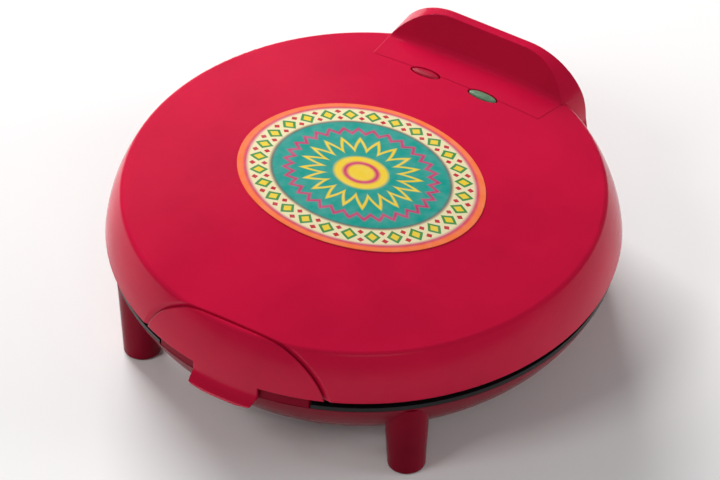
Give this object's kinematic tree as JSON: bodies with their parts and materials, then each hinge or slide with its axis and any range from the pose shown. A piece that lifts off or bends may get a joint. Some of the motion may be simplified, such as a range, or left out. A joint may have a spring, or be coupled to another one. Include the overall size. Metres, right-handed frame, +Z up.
{
  "type": "quesadilla maker",
  "caption": "Round electric quesadilla maker: red domed lid with rear crest, oval label, lamps and front latch, hinged on a red bowl with tapered legs; sectioned plates inside.",
  "frame": {"origin": "middle of the outline on the surface that the feet rest on", "axes": "+Z up, -Y towards the latch, +Y towards the hinge"},
  "size_m": [0.3, 0.3012, 0.112],
  "materials": {
    "red_shell": "moulded, satin gloss",
    "printed_label": "printed film, gloss",
    "red_lens": "clear moulded",
    "green_lens": "clear moulded",
    "black_plastic": "moulded, fine texture",
    "lamp_glass": "polished",
    "zinc_screw": "zinc plated",
    "nonstick_plate": "non-stick coating on die-cast aluminium",
    "heater_sheath": "heat tinted",
    "shield_sheet": "rolled",
    "thermostat_body": "moulded phenolic",
    "fuse_body": "woven glass sleeve",
    "bush_rubber": "moulded",
    "terminal_plastic": "moulded",
    "pad_rubber": "moulded",
    "pin_steel": "ground"
  },
  "bodies": {
    "base": {"base_housing": "red_shell", "lower_plate": "nonstick_plate", "lower_plate_screws": "zinc_screw", "lower_element": "heater_sheath", "lower_heat_shield": "shield_sheet", "thermostat": "thermostat_body", "thermal_fuse": "fuse_body", "bottom_cover": "black_plastic", "bottom_cover_screws": "zinc_screw", "rear_cover": "black_plastic", "rear_cover_screws": "zinc_screw", "cord_inlet_bush": "bush_rubber", "terminal_block": "terminal_plastic", "foot_pads": "pad_rubber", "hinge_pins": "pin_steel"},
    "lid": {"lid_housing": "red_shell", "label_plate": "printed_label", "power_lens": "red_lens", "ready_lens": "green_lens", "lamp_holder": "black_plastic", "neon_lamps": "lamp_glass", "lamp_holder_screws": "zinc_screw", "upper_plate": "nonstick_plate", "upper_plate_screws": "zinc_screw", "upper_element": "heater_sheath", "upper_heat_shield": "shield_sheet", "upper_shield_screws": "zinc_screw", "lid_thermostat": "thermostat_body", "latch_pin": "pin_steel"},
    "latch": {"latch": "red_shell"}
  },
  "joints": [
    {"name": "lid_hinge", "type": "hinge", "parent": "base", "child": "lid", "pos_m": [0, 0.143, 0.066], "axis": [-1, 0, 0], "range_deg": [0, 105]},
    {"name": "latch_pivot", "type": "hinge", "parent": "lid", "child": "latch", "pos_m": [0, -0.1331, 0.085], "axis": [-1, 0, 0], "range_deg": [0, 9]}
  ]
}
